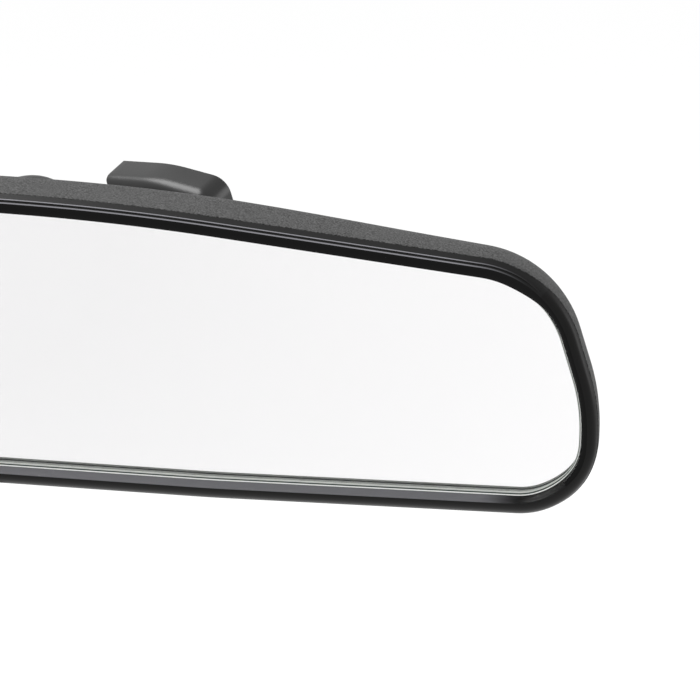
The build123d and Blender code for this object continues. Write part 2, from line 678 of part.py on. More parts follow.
# ---- Export ------------------------------------------------------------------------
pieces = {
    "rear_housing": rear_housing, "front_bezel": front_bezel, "mirror_glass": mirror_glass,
    "mirror_coating": mirror_coating, "shatter_film": shatter_film, "foam_pad": foam_pad,
    "toggle_carrier": toggle_carrier, "carrier_screws": carrier_screws, "lever_pin": lever_pin,
    "day_night_lever": day_night_lever, "lever_tab": lever_tab, "pivot_bracket": pivot_bracket,
    "hinge_pin": hinge_pin, "detent_spring": detent_spring, "spring_rivets": spring_rivets,
    "head_ball_stud": head_ball_stud, "stud_washer": stud_washer, "stud_nut": stud_nut,
    "stud_boot": stud_boot, "head_ball_liner": head_ball_liner, "mount_ball_liner": mount_ball_liner,
    "arm_tube": arm_tube, "head_pressure_plate": head_pressure_plate,
    "mount_pressure_plate": mount_pressure_plate, "arm_spring": arm_spring, "mount_foot": mount_foot,
    "mount_ball_stud": mount_ball_stud, "set_screw": set_screw, "windshield_button": windshield_button,
    "adhesive_pad": adhesive_pad,
}
os.makedirs("parts", exist_ok=True)
for name, piece in pieces.items():
    piece.part.label = name
    export_step(piece.part, f"parts/{name}.step")
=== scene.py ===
import json
import math

import bmesh
import bpy
from mathutils import Matrix, Vector


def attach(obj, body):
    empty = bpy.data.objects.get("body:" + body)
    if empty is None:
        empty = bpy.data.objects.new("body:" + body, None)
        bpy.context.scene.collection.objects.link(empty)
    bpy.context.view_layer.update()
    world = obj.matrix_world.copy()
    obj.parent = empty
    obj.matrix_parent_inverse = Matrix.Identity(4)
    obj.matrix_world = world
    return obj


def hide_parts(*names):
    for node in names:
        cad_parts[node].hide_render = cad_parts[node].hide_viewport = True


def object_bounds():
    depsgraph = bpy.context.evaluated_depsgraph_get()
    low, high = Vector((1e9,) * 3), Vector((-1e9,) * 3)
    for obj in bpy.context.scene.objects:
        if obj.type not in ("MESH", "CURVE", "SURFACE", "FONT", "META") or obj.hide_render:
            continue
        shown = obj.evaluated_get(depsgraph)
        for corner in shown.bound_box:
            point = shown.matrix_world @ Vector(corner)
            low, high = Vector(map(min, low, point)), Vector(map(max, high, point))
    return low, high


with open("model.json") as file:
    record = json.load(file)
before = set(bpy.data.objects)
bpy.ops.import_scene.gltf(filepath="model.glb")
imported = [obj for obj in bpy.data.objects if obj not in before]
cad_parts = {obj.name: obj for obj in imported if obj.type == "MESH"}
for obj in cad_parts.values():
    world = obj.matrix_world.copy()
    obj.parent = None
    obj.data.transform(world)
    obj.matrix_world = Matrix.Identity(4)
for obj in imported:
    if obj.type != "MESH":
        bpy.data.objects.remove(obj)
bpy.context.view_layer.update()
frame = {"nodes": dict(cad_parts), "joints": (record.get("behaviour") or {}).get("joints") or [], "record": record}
joints = {joint["name"]: joint for joint in frame["joints"]}

# Interior rearview mirror. Pieces are shaped in millimetres in local frames, and the frames'
# matrices put them in the row frame, in metres.
MM = 0.001

# ---- Driving dimensions, mm ---------------------------------------------------------
HALF_WIDTH = 122.7
TOP_APEX = 31.3
BOTTOM = -29.0
HINGE_DEPTH, HINGE_HEIGHT = 17.5, 21.0      # hinge pin in the head: depth, height
BACK_DEPTH = 29.5
BACK_SHRINK = 20.0
WALL = 1.6
SIDE_TOP, SIDE_END, SIDE_BOTTOM = 15.0, 2.9, 8.5      # depth where the side wall starts to round
SIDE_TOP_DROP = 9.8                                   # side wall lost along the top, towards the ends
PARTING_TOP, PARTING_END, PARTING_BOTTOM = 1.0, 2.1, 3.1    # bezel's outer edge behind its crest
LIP_DEPTH = 2.1
LIP_TOP, LIP_END, LIP_BOTTOM = 3.9, 3.1, 3.65         # bezel's width to the glass opening
GLASS_INSET = 2.65
GLASS_THIN, GLASS_THICK = 3.0, 5.9
SKIRT_DEPTH = 5.5
SKIRT_INSET = WALL + 0.1
LEVER_DEPTH, LEVER_HEIGHT = 10.5, -22.4
HEAD_BALL_HEIGHT = 14.3
BALL_R = 8.0
STUD_HOLE_R = 9.4
SLOT_HALF_WIDTH, SLOT_FRONT, SLOT_BACK = 4.9, 5.2, 13.6    # lever slot through the underside
TAB_WIDTH, TAB_THICK = 8.6, 2.6
TAB_START, TAB_TIP = 8.7, 20.0                        # tab's ends below the lever pin
PARTING_GAP = 0.10                                    # housing's front edge behind the bezel's
STEP = 0.12                                           # housing stands proud of the bezel
FOOT_THICK, FOOT_GAP, FOOT_FILLET = 8.4, 0.6, 3.2     # FOOT_GAP: foot to windshield
NECK_R, NECK_END = 3.2, 14.9                          # mount stud's shank, and its end in the foot
CHANNEL_DEPTH = 4.75                                  # button channel, from the windshield
SET_SCREW_R, SET_SCREW_DROP = 2.0, 8.0
SHARP = 0.01                                          # radius that stands for the axis


# ---- Frames -------------------------------------------------------------------------
def local_frame(x, y, z, origin):
    """Matrix from a local frame in millimetres to the row frame in metres."""
    columns = [Vector(v) * MM for v in (x, y, z)] + [Vector(origin)]
    return Matrix([[c[row] for c in columns] for row in range(3)] + [[0, 0, 0, 1]])


UP = Vector((0, 0, 1))
across = -Vector(joints["day_night"]["axis"])
inward = UP.cross(across)
hinge_at = Vector(joints["day_night"]["pos_m"])
head_centre = hinge_at - inward * HINGE_DEPTH * MM - UP * HINGE_HEIGHT * MM
HEAD = local_frame(across, inward, UP, head_centre)          # x across, y into the head, z up

head_ball = Vector(joints["head_turn"]["pos_m"])
mount_ball = Vector(joints["arm_swing"]["pos_m"])
along_arm = (mount_ball - head_ball).normalized()
ARM_LENGTH = (mount_ball - head_ball).length / MM
right = Vector((1, 0, 0))
ARM = local_frame(right, along_arm.cross(right), along_arm, head_ball)

bonded = frame["record"]["mounts"][0]
face_out = Vector(bonded["axis"])
face_up = right.cross(face_out)
FOOT = local_frame(right, face_out, face_up, bonded["pos_m"])   # x right, y to the glass, z up it


# ---- Mesh tools ---------------------------------------------------------------------
def smoothstep(low, high, value):
    t = min(max((value - low) / (high - low), 0.0), 1.0)
    return t * t * (3 - 2 * t)


def new_object(name, bm, matrix, sharp_angle=32.0):
    """An object from a bmesh in local millimetres, smooth except at sharp edges."""
    bmesh.ops.recalc_face_normals(bm, faces=bm.faces)
    for face in bm.faces:
        face.smooth = True
    for edge in bm.edges:
        edge.smooth = edge.calc_face_angle(0.0) < math.radians(sharp_angle)
    mesh = bpy.data.meshes.new(name)
    bm.to_mesh(mesh)
    bm.free()
    mesh.transform(matrix)
    obj = bpy.data.objects.new(name, mesh)
    bpy.context.scene.collection.objects.link(obj)
    return obj


def add_rings(bm, rings, closed=False, caps=True, slots=None):
    """Skin a list of equal rings of points; closed joins the last ring to the first."""
    loops = [[bm.verts.new(point) for point in ring] for ring in rings]
    count = len(loops[0])
    pairs = list(zip(loops, loops[1:] + loops[:1] if closed else loops[1:]))
    for number, (a, b) in enumerate(pairs):
        for i in range(count):
            j = (i + 1) % count
            face = bm.faces.new((a[i], a[j], b[j], b[i]))
            face.material_index = slots(number, i) if slots else 0
    if caps and not closed:
        bm.faces.new(loops[0])
        bm.faces.new(loops[-1])
    return loops


def revolved(name, profile, matrix, steps=72, sharp_angle=32.0, closed=True):
    """Turn a profile of (height, radius) about the local z axis."""
    bm = bmesh.new()
    rings = []
    for height, radius in profile:
        turns = [2 * math.pi * k / steps for k in range(steps)]
        rings.append([(radius * math.cos(t), radius * math.sin(t), height) for t in turns])
    add_rings(bm, rings, closed=closed)
    return new_object(name, bm, matrix, sharp_angle)


def rod(radius, start, end, matrix):
    """Closed cylinder along the local z axis, used to cut a hole."""
    profile = [(start, SHARP), (start, radius), (end, radius), (end, SHARP)]
    return revolved("cutter", profile, matrix, closed=False)


def apply_modifiers(obj):
    """Bake an object's modifiers into its mesh."""
    depsgraph = bpy.context.evaluated_depsgraph_get()
    baked = bpy.data.meshes.new_from_object(obj.evaluated_get(depsgraph))
    obj.modifiers.clear()
    obj.data = baked


def cut(obj, cutter, operation="DIFFERENCE"):
    """Take the cutter out of obj, or join it on, and remove it."""
    modifier = obj.modifiers.new("cut", "BOOLEAN")
    modifier.operation = operation
    modifier.solver = "EXACT"
    modifier.object = cutter
    apply_modifiers(obj)
    bpy.data.objects.remove(cutter)


def solid(rings, matrix):
    """Closed body skinned over a list of rings, used to cut or join."""
    bm = bmesh.new()
    add_rings(bm, rings)
    return new_object("cutter", bm, matrix)


def box_cutter(low, high, matrix):
    corners = ((low[0], low[1]), (high[0], low[1]), (high[0], high[1]), (low[0], high[1]))
    return solid([[(x, y, z) for x, y in corners] for z in (low[2], high[2])], matrix)


def fillet_ring(corners):
    """Points and outward normals clockwise round a convex polygon of (x, height, radius,
    arc steps), with its corners rounded and each straight run in six parts."""
    ring = []
    count = len(corners)
    for i, (x, y, radius, steps) in enumerate(corners):
        here = Vector((x, y))
        before = Vector(corners[i - 1][:2])
        after = Vector(corners[(i + 1) % count][:2])
        into, out = (here - before).normalized(), (after - here).normalized()
        start_normal = Vector((-into.y, into.x))
        turn = abs(into.angle_signed(out))
        reach = radius * math.tan(turn / 2)
        start = here - into * reach
        centre = start - start_normal * radius
        if ring:
            last, normal = ring[-1]
            ring += [(last.lerp(start, k / 6), normal) for k in range(1, 6)]
        first = math.atan2(start_normal.y, start_normal.x)
        for k in range(steps + 1):
            a = first - turn * k / steps
            normal = Vector((math.cos(a), math.sin(a)))
            ring.append((centre + normal * radius, normal))
    last, normal = ring[-1]
    ring += [(last.lerp(ring[0][0], k / 6), normal) for k in range(1, 6)]
    return ring


def moved_in(corners, inset):
    """The same corners with every side of the polygon moved in."""
    moved = []
    for i, (x, y, radius, steps) in enumerate(corners):
        here = Vector((x, y))
        into = (here - Vector(corners[i - 1][:2])).normalized()
        out = (Vector(corners[(i + 1) % len(corners)][:2]) - here).normalized()
        normals = Vector((-into.y - out.y, into.x + out.x))
        corner = here - normals * (inset / (1 + into.dot(out)))
        moved.append((corner.x, corner.y, max(radius - inset, 0.1), steps))
    return moved


# ---- The head's outline -------------------------------------------------------------
half_outline = [
    (0, TOP_APEX, 520, 28),
    (HALF_WIDTH - 8.5, 20.2, 21.2, 20),
    (HALF_WIDTH, -5.4, 36.7, 10),
    (HALF_WIDTH, -27.6, 15.1, 22),
    (49, BOTTOM, 400, 4),
]
OUTLINE = fillet_ring(half_outline + [(-x, y, r, n) for x, y, r, n in reversed(half_outline[1:])])
MIDDLE = (TOP_APEX + BOTTOM) / 2
HALF_HEIGHT = (TOP_APEX - BOTTOM) / 2


def shares(normal):
    """How much of the top's, the ends' and the bottom's profile the lip has there."""
    top = smoothstep(0.6, 0.93, normal.y)
    bottom = smoothstep(0.3, 0.95, -normal.y)
    return top, 1 - top - bottom, bottom


def head_ring(top, end=None, bottom=None, shrink=0.0):
    """Ring around the head, from (inset, depth) along the top, the ends and the bottom."""
    end = end or top
    bottom = bottom or end
    sx, sy = 1 - shrink / HALF_WIDTH, 1 - shrink / HALF_HEIGHT
    ring = []
    for point, normal in OUTLINE:
        parts = shares(normal)
        inset = sum(share * profile[0] for share, profile in zip(parts, (top, end, bottom)))
        depth = sum(share * profile[1] for share, profile in zip(parts, (top, end, bottom)))
        x = point.x * sx - normal.x * inset
        z = MIDDLE + (point.y - MIDDLE) * sy - normal.y * inset
        ring.append((x, depth, z))
    return ring


def side_depth(point, normal):
    """Depth of the housing's side wall: deep along the top, shallow at the ends."""
    if normal.y < 0:
        return SIDE_END + (SIDE_BOTTOM - SIDE_END) * smoothstep(0, 1, -normal.y)
    top = SIDE_TOP - SIDE_TOP_DROP * smoothstep(45, HALF_WIDTH, abs(point.x))
    return SIDE_END + (top - SIDE_END) * smoothstep(0, 1, normal.y)


def wall_ring(inset, share, turn=0.0):
    """Ring of the housing: share runs from the parting line to the end of the side wall,
    and turn, in radians, from there over the rounded back."""
    shrink = BACK_SHRINK * (1 - math.cos(turn))
    front = head_ring((inset, PARTING_TOP + PARTING_GAP), (inset, PARTING_END + PARTING_GAP),
                      (inset, PARTING_BOTTOM + PARTING_GAP), shrink)
    back = BACK_DEPTH - max(inset, 0)
    ring = []
    for (x, depth, z), (point, normal) in zip(front, OUTLINE):
        side = side_depth(point, normal)
        depth += (side - depth) * share
        ring.append((x, depth + (back - side) * math.sin(turn), z))
    return ring


# ---- Materials ----------------------------------------------------------------------
def surface(name, colour, roughness, metallic=0.0, specular=0.5, transmission=0.0, ior=1.5):
    """A Principled material with object coordinates ready for its details."""
    material = bpy.data.materials.new(name)
    material.use_nodes = True
    nodes, links = material.node_tree.nodes, material.node_tree.links
    shader = nodes["Principled BSDF"]
    shader.inputs["Base Color"].default_value = (*colour, 1)
    shader.inputs["Roughness"].default_value = roughness
    shader.inputs["Metallic"].default_value = metallic
    shader.inputs["Specular IOR Level"].default_value = specular
    shader.inputs["Transmission Weight"].default_value = transmission
    shader.inputs["IOR"].default_value = ior
    where = nodes.new("ShaderNodeTexCoord")
    return material, nodes, links, shader, where.outputs["Object"]


def noise(nodes, links, where, grain, detail=2.0, stretch=None):
    """Noise with a grain of that many millimetres."""
    texture = nodes.new("ShaderNodeTexNoise")
    texture.inputs["Scale"].default_value = 1 / (grain * MM)
    texture.inputs["Detail"].default_value = detail
    if stretch:
        mapping = nodes.new("ShaderNodeMapping")
        mapping.inputs["Scale"].default_value = stretch
        links.new(where, mapping.inputs["Vector"])
        where = mapping.outputs["Vector"]
    links.new(where, texture.inputs["Vector"])
    return texture.outputs["Fac"]


def vary_colour(nodes, links, shader, value, dark, light, low=0.3, high=0.7):
    ramp = nodes.new("ShaderNodeValToRGB")
    ramp.color_ramp.elements[0].position = low
    ramp.color_ramp.elements[1].position = high
    ramp.color_ramp.elements[0].color = (*dark, 1)
    ramp.color_ramp.elements[1].color = (*light, 1)
    links.new(value, ramp.inputs["Fac"])
    links.new(ramp.outputs["Color"], shader.inputs["Base Color"])


def vary_roughness(nodes, links, shader, value, low, high):
    spread = nodes.new("ShaderNodeMapRange")
    spread.inputs["To Min"].default_value = low
    spread.inputs["To Max"].default_value = high
    links.new(value, spread.inputs["Value"])
    links.new(spread.outputs["Result"], shader.inputs["Roughness"])


def add_bump(nodes, links, shader, value, height, strength=1.0):
    """Bump of that height in millimetres."""
    bump = nodes.new("ShaderNodeBump")
    bump.inputs["Strength"].default_value = strength
    bump.inputs["Distance"].default_value = height * MM
    links.new(value, bump.inputs["Height"])
    links.new(bump.outputs["Normal"], shader.inputs["Normal"])


def grey(level, tint=(1, 1, 1)):
    return tuple(level * t for t in tint)


def moulded(name, level, roughness, grain, bump, contrast=0.25, specular=0.5, tint=(1, 1, 1),
            spread=0.2):
    """Moulded or cast surface: a grain in colour, gloss and height."""
    material, nodes, links, shader, where = surface(name, grey(level, tint), roughness,
                                                    specular=specular)
    fine = noise(nodes, links, where, grain)
    broad = noise(nodes, links, where, grain * 40, detail=1.0)
    vary_colour(nodes, links, shader, fine, grey(level * (1 - contrast), tint),
                grey(level * (1 + contrast), tint), 0.5 - spread, 0.5 + spread)
    vary_roughness(nodes, links, shader, broad, roughness - 0.05, roughness + 0.05)
    add_bump(nodes, links, shader, fine, bump)
    return material


def metal(name, level, roughness, grain=0.25, tint=(1, 1, 1), stretch=(1, 1, 12)):
    """Worked steel: fine drawn lines in gloss and height."""
    material, nodes, links, shader, where = surface(name, grey(level, tint), roughness, metallic=1.0)
    lines = noise(nodes, links, where, grain, stretch=stretch)
    stain = noise(nodes, links, where, 6.0)
    vary_colour(nodes, links, shader, stain, grey(level * 0.85, tint), grey(level * 1.05, tint))
    vary_roughness(nodes, links, shader, lines, roughness - 0.08, roughness + 0.08)
    add_bump(nodes, links, shader, lines, 0.004)
    return material


def fading(name, near, far, roughness, specular, start=0.096, end=0.111):
    """Bezel colour that changes from near to far as the straight sides turn into the ends,
    between those distances from the head's centre, in metres. On the ridges and the inner wall
    near is a painted highlight and a painted reflection that fade to black at the ends; the
    satin band gets darker and the black face a little lighter towards the ends."""
    material, nodes, links, shader, where = surface(name, near, roughness, specular=specular)
    from_middle = nodes.new("ShaderNodeVectorMath")
    from_middle.operation = "DISTANCE"
    from_middle.inputs[1].default_value = head_centre
    links.new(where, from_middle.inputs[0])
    fade = nodes.new("ShaderNodeMapRange")
    fade.interpolation_type = "SMOOTHSTEP"
    fade.inputs["From Min"].default_value = start
    fade.inputs["From Max"].default_value = end
    links.new(from_middle.outputs["Value"], fade.inputs["Value"])
    vary_colour(nodes, links, shader, fade.outputs["Result"], near, far, 0, 1)
    grain = noise(nodes, links, where, 0.3)
    vary_roughness(nodes, links, shader, grain, roughness - 0.05, roughness + 0.05)
    add_bump(nodes, links, shader, grain, 0.002)
    return material


def clear_glass():
    material, nodes, links, shader, where = surface("clear_glass", grey(0.998), 0.0,
                                                    transmission=1.0, ior=1.52)
    haze = noise(nodes, links, where, 30.0)
    vary_colour(nodes, links, shader, haze, grey(0.997), grey(1.0))
    return material


def silvering():
    material, nodes, links, shader, where = surface("silvering", (0.97, 0.97, 0.972), 0.0,
                                                    metallic=1.0)
    cloud = noise(nodes, links, where, 45.0, detail=1.0)
    # Painted reflection: the silver is greyer near a point above the middle and whiter outwards.
    from_middle = nodes.new("ShaderNodeVectorMath")
    from_middle.operation = "DISTANCE"
    from_middle.inputs[1].default_value = head_centre + UP * 0.02
    links.new(where, from_middle.inputs[0])
    fade = nodes.new("ShaderNodeMapRange")
    fade.inputs["From Min"].default_value = 0.03
    fade.inputs["From Max"].default_value = 0.12
    links.new(from_middle.outputs["Value"], fade.inputs["Value"])
    vary_colour(nodes, links, shader, fade.outputs["Result"], (0.90, 0.895, 0.90), (0.99, 0.985, 0.99),
                0, 1)
    vary_roughness(nodes, links, shader, cloud, 0.0, 0.004)
    return material


def foam():
    material, nodes, links, shader, where = surface("foam", grey(0.06), 0.95)
    cells = nodes.new("ShaderNodeTexVoronoi")
    cells.inputs["Scale"].default_value = 1 / (0.8 * MM)
    links.new(where, cells.inputs["Vector"])
    vary_colour(nodes, links, shader, cells.outputs["Distance"], grey(0.03), grey(0.09))
    add_bump(nodes, links, shader, cells.outputs["Distance"], 0.15)
    return material


housing_skin = moulded("housing_stipple", 0.031, 0.62, 0.34, 0.18, contrast=0.9, specular=0.25,
                       spread=0.09)
bezel_satin = fading("bezel_satin", grey(0.0095), grey(0.0055), 0.32, 0.15)
bezel_black = fading("bezel_black", grey(0.0035), grey(0.0045), 0.22, 0.06)
# Painted highlight: light grey along the top's two crests, faded to black towards the ends.
bezel_ridge_highlight = fading("bezel_ridge_highlight", (0.205, 0.203, 0.22), grey(0.0055), 0.28, 0.15)
# Painted reflection: grey along the bottom's inner wall, faded to black towards the ends.
bezel_inner_reflection = fading("bezel_inner_reflection", (0.105, 0.105, 0.112), grey(0.0055), 0.35, 0.15, 0.103, 0.1115)
bezel_roll = moulded("bezel_roll", 0.0045, 0.32, 0.30, 0.002, contrast=0.12, specular=0.12,
                     tint=(1.03, 1, 0.97))
glass_clear = clear_glass()
# Strips inside the lip: the frosted ground edge, partly a painted highlight line; a green painted shadow line; a
# pale painted reflection band.
glass_ground_and_highlight = moulded("ground_glass_and_highlight", 0.90, 0.5, 0.12, 0.01, contrast=0.06, tint=(0.97, 1, 0.96))
glass_shadow_line = moulded("edge_painted_shadow", 0.028, 0.5, 0.12, 0.01, contrast=0.1, tint=(0.6, 1, 0.75))
glass_reflection_band = moulded("edge_painted_reflection", 0.52, 0.5, 0.12, 0.01, contrast=0.08, tint=(0.95, 1, 0.93))
mirror_silver_and_reflection = silvering()
film_grey = moulded("film", 0.10, 0.5, 1.2, 0.01)
foam_black = foam()
zinc = metal("zinc_plate", 0.62, 0.34, tint=(1, 0.99, 0.96))
ball_steel = metal("ball_steel", 0.60, 0.20, grain=0.15)
spring_steel = metal("spring_steel", 0.42, 0.32, tint=(1, 0.98, 0.95))
button_steel = metal("sintered_steel", 0.40, 0.48, grain=0.2, stretch=(1, 1, 1))
arm_paint = moulded("arm_paint", 0.005, 0.38, 0.9, 0.006, contrast=0.10, specular=0.10)
foot_paint = moulded("foot_paint", 0.005, 0.32, 0.7, 0.010, contrast=0.08, specular=0.42)
nylon = moulded("nylon", 0.085, 0.40, 0.8, 0.004, contrast=0.08, tint=(1, 0.99, 0.96))
lever_black = moulded("lever_plastic", 0.032, 0.42, 0.5, 0.006, contrast=0.12)
tab_rubber = moulded("tab_rubber", 0.026, 0.62, 0.35, 0.02, contrast=0.2)
boot_rubber = moulded("boot_rubber", 0.022, 0.58, 0.4, 0.015, contrast=0.2)
adhesive_grey = moulded("adhesive", 0.20, 0.50, 1.5, 0.03, contrast=0.15)

for node, material in {
    "mirror_coating": mirror_silver_and_reflection, "shatter_film": film_grey, "foam_pad": foam_black,
    "toggle_carrier": lever_black, "carrier_screws": zinc, "lever_pin": zinc,
    "day_night_lever": lever_black, "pivot_bracket": zinc, "hinge_pin": zinc,
    "detent_spring": spring_steel, "spring_rivets": zinc, "head_ball_stud": ball_steel,
    "stud_washer": spring_steel, "stud_nut": zinc, "stud_boot": boot_rubber,
    "head_ball_liner": nylon, "mount_ball_liner": nylon, "head_pressure_plate": zinc,
    "mount_pressure_plate": zinc, "arm_spring": spring_steel, "mount_ball_stud": ball_steel,
    "set_screw": zinc, "windshield_button": button_steel, "adhesive_pad": adhesive_grey,
}.items():
    mesh = frame["nodes"][node].data
    mesh.materials.clear()
    mesh.materials.append(material)


def finish_piece(obj, body, node, slot, *materials):
    """Materials, body and CAD node of a new piece; the record slot is not used."""
    for material in materials:
        obj.data.materials.append(material)
    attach(obj, body)
    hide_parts(node)
    return obj


# ---- Head: housing ------------------------------------------------------------------
def housing():
    """Shell with a straight side wall and a rounded back, open to the front."""
    turns = [math.radians(90 * k / 14) for k in range(1, 15)]
    rings = [wall_ring(WALL, 1, turn) for turn in reversed(turns)]
    rings += [wall_ring(WALL, 1), wall_ring(WALL, 0), wall_ring(0.1, 0)]
    rings.append(wall_ring(-STEP * 0.7, 0.008))
    rings += [wall_ring(-STEP, share) for share in (0.03, 0.35, 0.7, 1.0)]
    rings += [wall_ring(-STEP, 1, turn) for turn in turns]
    bm = bmesh.new()
    add_rings(bm, rings)
    obj = new_object("housing_shell", bm, HEAD)
    on_back = head_centre + inward * BACK_DEPTH * MM + UP * HEAD_BALL_HEIGHT * MM
    cut(obj, rod(STUD_HOLE_R, -13, 2, local_frame(across, -UP, inward, on_back)))
    cut(obj, box_cutter((-SLOT_HALF_WIDTH, SLOT_FRONT, BOTTOM - 4),
                        (SLOT_HALF_WIDTH, SLOT_BACK, BOTTOM + 4), HEAD))
    return obj


finish_piece(housing(), "case", "rear_housing", "housing_black", housing_skin)


# ---- Head: bezel --------------------------------------------------------------------
def bezel():
    """Lip around the glass: two fine ridges along the top, a round roll along the rim."""
    # ridge is a painted highlight on the top's crests, inner a painted reflection on the bottom's inner wall
    satin, black, ridge, inner, roll = range(5)
    edge = (satin, roll, roll)
    crest = (ridge, roll, roll)
    face = (black, black, inner)
    hidden = (satin, satin, satin)
    # Each row is a ring: (inset, depth) along the top, the ends and the bottom, and the materials
    # there of the strip that follows it; ridge and inner are a painted highlight and a painted reflection
    profile = [
        ((0.00, PARTING_TOP), (0.00, PARTING_END), (0.00, PARTING_BOTTOM), edge),
        ((0.28, 0.66), (0.18, 1.50), (0.10, 2.30), edge),
        ((0.56, 0.32), (0.52, 0.92), (0.42, 1.50), edge),
        ((0.78, 0.06), (0.95, 0.52), (1.00, 0.82), crest),
        ((0.86, 0.00), (1.15, 0.38), (1.40, 0.50), crest),
        ((0.98, 0.08), (1.30, 0.28), (1.62, 0.36), edge),
        ((1.20, 0.30), (1.45, 0.20), (1.85, 0.24), edge),
        ((1.46, 0.14), (1.60, 0.12), (2.10, 0.13), crest),
        ((1.58, 0.10), (1.70, 0.07), (2.35, 0.06), crest),
        ((1.72, 0.14), (1.80, 0.04), (2.68, 0.00), face),
        ((2.60, 0.30), (2.30, 0.10), (2.82, 0.05), face),
        ((3.50, 0.46), (2.74, 0.42), (2.98, 0.50), face),
        ((3.72, 0.62), (2.90, 0.70), (3.08, 0.62), face),
        ((3.82, 1.30), (3.02, 1.35), (3.40, 1.42), face),
        ((LIP_TOP, LIP_DEPTH), (LIP_END, LIP_DEPTH), (LIP_BOTTOM, LIP_DEPTH), hidden),
        ((GLASS_INSET, LIP_DEPTH), (GLASS_INSET, LIP_DEPTH), (GLASS_INSET, LIP_DEPTH), hidden),
        ((GLASS_INSET, SKIRT_DEPTH), (GLASS_INSET, SKIRT_DEPTH), (GLASS_INSET, SKIRT_DEPTH), hidden),
        ((SKIRT_INSET, SKIRT_DEPTH), (SKIRT_INSET, SKIRT_DEPTH), (SKIRT_INSET, SKIRT_DEPTH), hidden),
        ((SKIRT_INSET, PARTING_TOP), (SKIRT_INSET, PARTING_END), (SKIRT_INSET, PARTING_BOTTOM), hidden),
    ]

    def finish_at(strip, i):
        parts = shares(OUTLINE[i][1])
        return profile[strip][3][parts.index(max(parts))]

    bm = bmesh.new()
    rings = [head_ring(top, end, bottom) for top, end, bottom, finishes in profile]
    add_rings(bm, rings, closed=True, slots=finish_at)
    return new_object("bezel_lip", bm, HEAD, sharp_angle=38.0)


finish_piece(bezel(), "case", "front_bezel", "bezel_black", bezel_satin, bezel_black, bezel_ridge_highlight,
             bezel_inner_reflection, bezel_roll)


# ---- Head: prismatic glass ----------------------------------------------------------
def glass():
    """Wedge of glass, thin at the bottom, with a ground edge. Inside the lip along the bottom and
    the ends its front carries painted strips as fine lines: a bright ground strip that is partly a
    painted highlight, a green painted shadow line and a pale painted reflection band."""
    lean = (GLASS_THICK - GLASS_THIN) / (TOP_APEX - BOTTOM - 2 * GLASS_INSET)
    clear, ground, green, pale = range(4)
    edge, front = GLASS_INSET + 0.05, LIP_DEPTH + 0.03
    # insets along the top, the ends and the bottom, and the colour out to the next ring: pale a painted reflection
    # band, green a painted shadow line, ground a frosted edge with a painted highlight
    arris = [
        (3.75, 3.46, 4.46, pale), (3.65, 3.34, 4.14, green), (3.55, 3.22, 3.86, ground),
        (3.30, 3.00, 3.55, ground), (edge + 0.2, edge + 0.2, edge + 0.2, ground),
    ]
    rings = [head_ring((top, front), (end, front), (bottom, front)) for top, end, bottom, finish in arris]
    rings.append(head_ring((edge, front + 0.2)))
    rings.append([(x, LIP_DEPTH + GLASS_THIN + lean * (z - BOTTOM) - 0.01, z)
                  for x, y, z in head_ring((edge, 0))])
    strips = [finish for top, end, bottom, finish in arris] + [ground]
    bm = bmesh.new()
    add_rings(bm, rings, slots=lambda strip, i: strips[strip])
    return new_object("mirror_pane", bm, HEAD, sharp_angle=20.0)


finish_piece(glass(), "case", "mirror_glass", "clear_glass", glass_clear, glass_ground_and_highlight, glass_shadow_line,
             glass_reflection_band)


# ---- Day/night lever tab ------------------------------------------------------------
def tab():
    """Soft tab: rounded sections down its length, ribbed across its front."""
    start, end = LEVER_HEIGHT - TAB_START, LEVER_HEIGHT - TAB_TIP
    steps, around = 46, 40
    rings = []
    for k in range(steps + 1):
        share = k / steps
        z = start + (end - start) * share
        middle = LEVER_DEPTH - 0.4 - 1.5 * share
        tip = math.sqrt(max(1 - max((share - 0.86) / 0.14, 0) ** 2, 0.02))
        ribbed = smoothstep(0.12, 0.2, share) * (1 - smoothstep(0.78, 0.86, share))
        rib = 0.16 * math.cos(2 * math.pi * share * 8) * ribbed
        ring = []
        for i in range(around):
            a = 2 * math.pi * i / around
            c, s = math.cos(a), math.sin(a)
            x = TAB_WIDTH / 2 * math.copysign(abs(c) ** 0.45, c) * (0.35 + 0.65 * tip)
            y = (TAB_THICK / 2 * tip + rib) * math.copysign(abs(s) ** 0.55, s)
            ring.append((x, middle + y, z))
        rings.append(ring)
    bm = bmesh.new()
    add_rings(bm, rings)
    return new_object("lever_grip", bm, HEAD, sharp_angle=60.0)


finish_piece(tab(), "lever", "lever_tab", "tab_rubber", tab_rubber)


